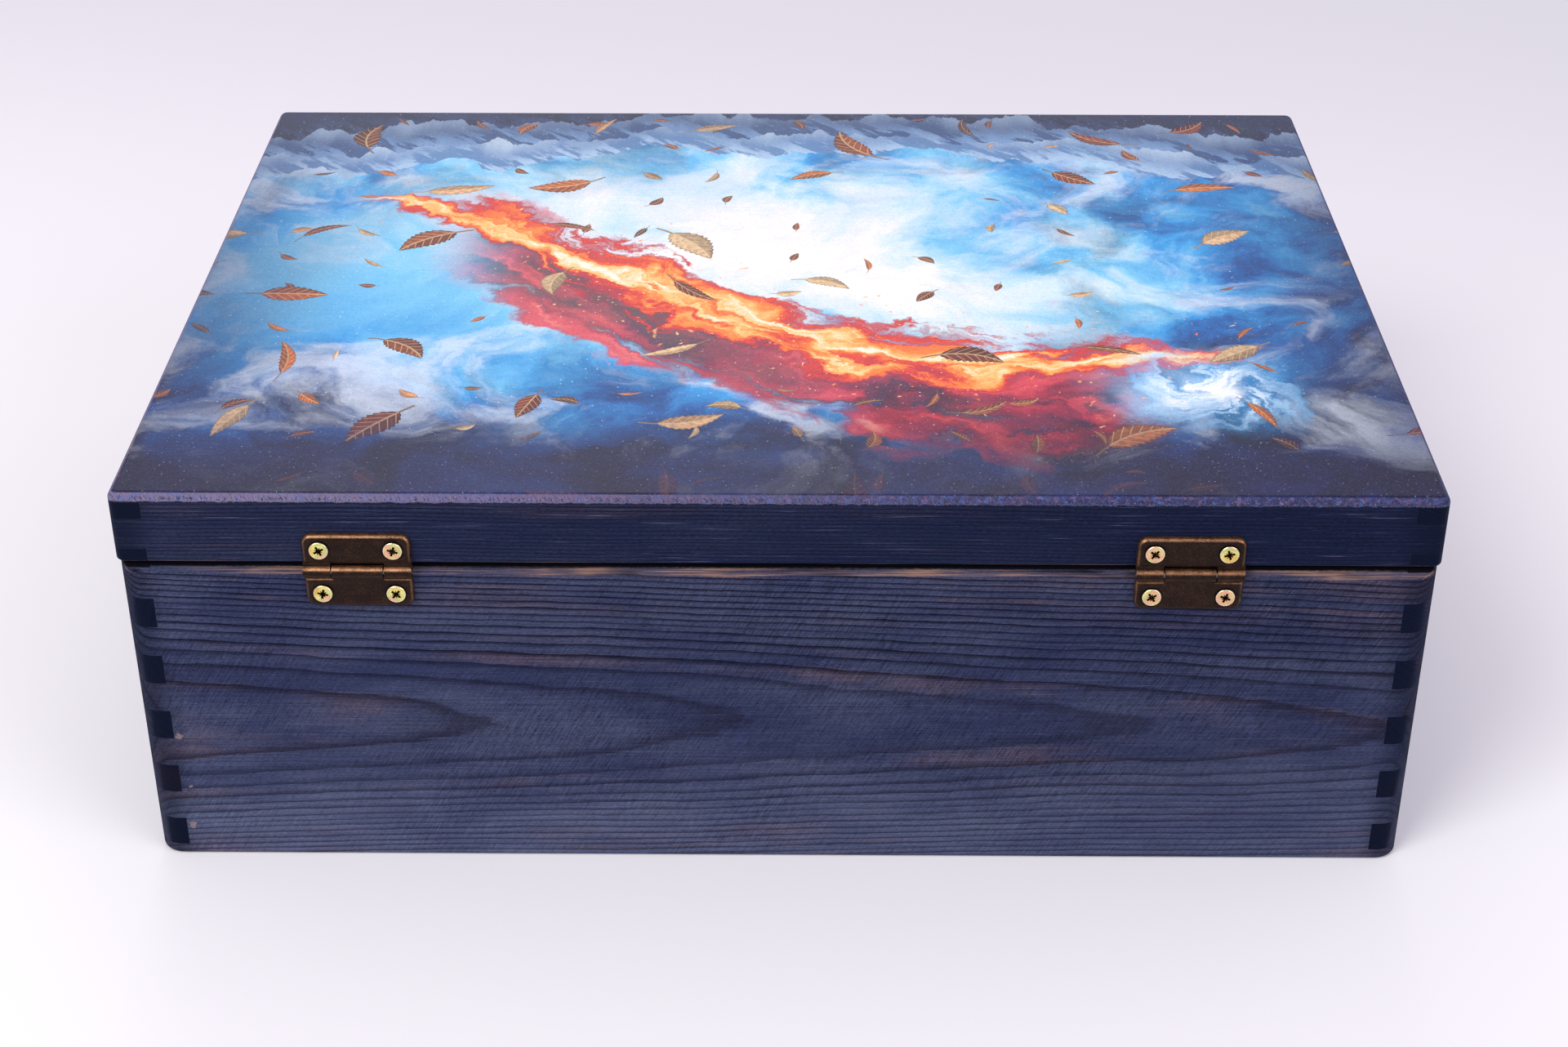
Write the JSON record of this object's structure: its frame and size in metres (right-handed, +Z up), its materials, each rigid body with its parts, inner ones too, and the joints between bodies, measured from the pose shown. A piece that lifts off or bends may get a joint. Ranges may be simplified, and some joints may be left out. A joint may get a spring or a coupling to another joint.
{
  "type": "card storage box",
  "caption": "Finger-jointed wooden box with a hinged printed lid, a swing hook latch, and rows with sliding stops for cards stored on edge.",
  "frame": {"origin": "centre of the underside, on the surface the box stands on", "axes": "+X along the hinges, to the right seen from the latch side; +Y from the latch side to the hinge side; +Z up"},
  "size_m": [0.4, 0.309, 0.135],
  "materials": {
    "stained_pine": "navy stain, sanded, matte",
    "bare_plywood": "bare, sanded",
    "bare_pine": "bare, sanded",
    "printed_plywood": "satin print",
    "antique_bronze": "antique, worn bright on the edges",
    "bright_steel": "plain drawn wire",
    "yellow_zinc": "yellow passivated zinc"
  },
  "bodies": {
    "box": {"front_board": "stained_pine", "back_board": "stained_pine", "left_board": "stained_pine", "right_board": "stained_pine", "bottom_panel": "bare_plywood", "row_wall_1": "bare_plywood", "row_wall_2": "bare_plywood", "row_wall_3": "bare_plywood", "left_hinge_box_leaf": "antique_bronze", "right_hinge_box_leaf": "antique_bronze", "left_hinge_pin": "bright_steel", "right_hinge_pin": "bright_steel", "hinge_box_screws": "yellow_zinc", "latch_base": "antique_bronze", "latch_rivet": "antique_bronze", "latch_base_screws": "yellow_zinc"},
    "lid": {"lid_front_rail": "stained_pine", "lid_back_rail": "stained_pine", "lid_left_rail": "stained_pine", "lid_right_rail": "stained_pine", "lid_panel": "printed_plywood", "left_hinge_lid_leaf": "antique_bronze", "right_hinge_lid_leaf": "antique_bronze", "hinge_lid_screws": "yellow_zinc", "catch_plate": "antique_bronze", "catch_post": "antique_bronze", "catch_screws": "yellow_zinc"},
    "hook": {"latch_hook": "antique_bronze"},
    "stop_1": {"stop_plate_1": "bare_plywood", "stop_brace_1": "bare_pine"},
    "stop_2": {"stop_plate_2": "bare_plywood", "stop_brace_2": "bare_pine"},
    "stop_3": {"stop_plate_3": "bare_plywood", "stop_brace_3": "bare_pine"},
    "stop_4": {"stop_plate_4": "bare_plywood", "stop_brace_4": "bare_pine"}
  },
  "joints": [
    {"name": "lid_hinge", "type": "hinge", "parent": "box", "child": "lid", "pos_m": [0, 0.1519, 0.1094], "axis": [-1, 0, 0], "range_deg": [0, 150]},
    {"name": "hook_swing", "type": "hinge", "parent": "box", "child": "hook", "pos_m": [0, -0.15, 0.097], "axis": [0, -1, 0], "range_deg": [0, 180]},
    {"name": "stop_1_slide", "type": "slide", "parent": "box", "child": "stop_1", "axis": [-1, 0, 0], "range_m": [0, 0.339]},
    {"name": "stop_2_slide", "type": "slide", "parent": "box", "child": "stop_2", "axis": [-1, 0, 0], "range_m": [0, 0.339]},
    {"name": "stop_3_slide", "type": "slide", "parent": "box", "child": "stop_3", "axis": [-1, 0, 0], "range_m": [0, 0.339]},
    {"name": "stop_4_slide", "type": "slide", "parent": "box", "child": "stop_4", "axis": [-1, 0, 0], "range_m": [0, 0.339]}
  ]
}
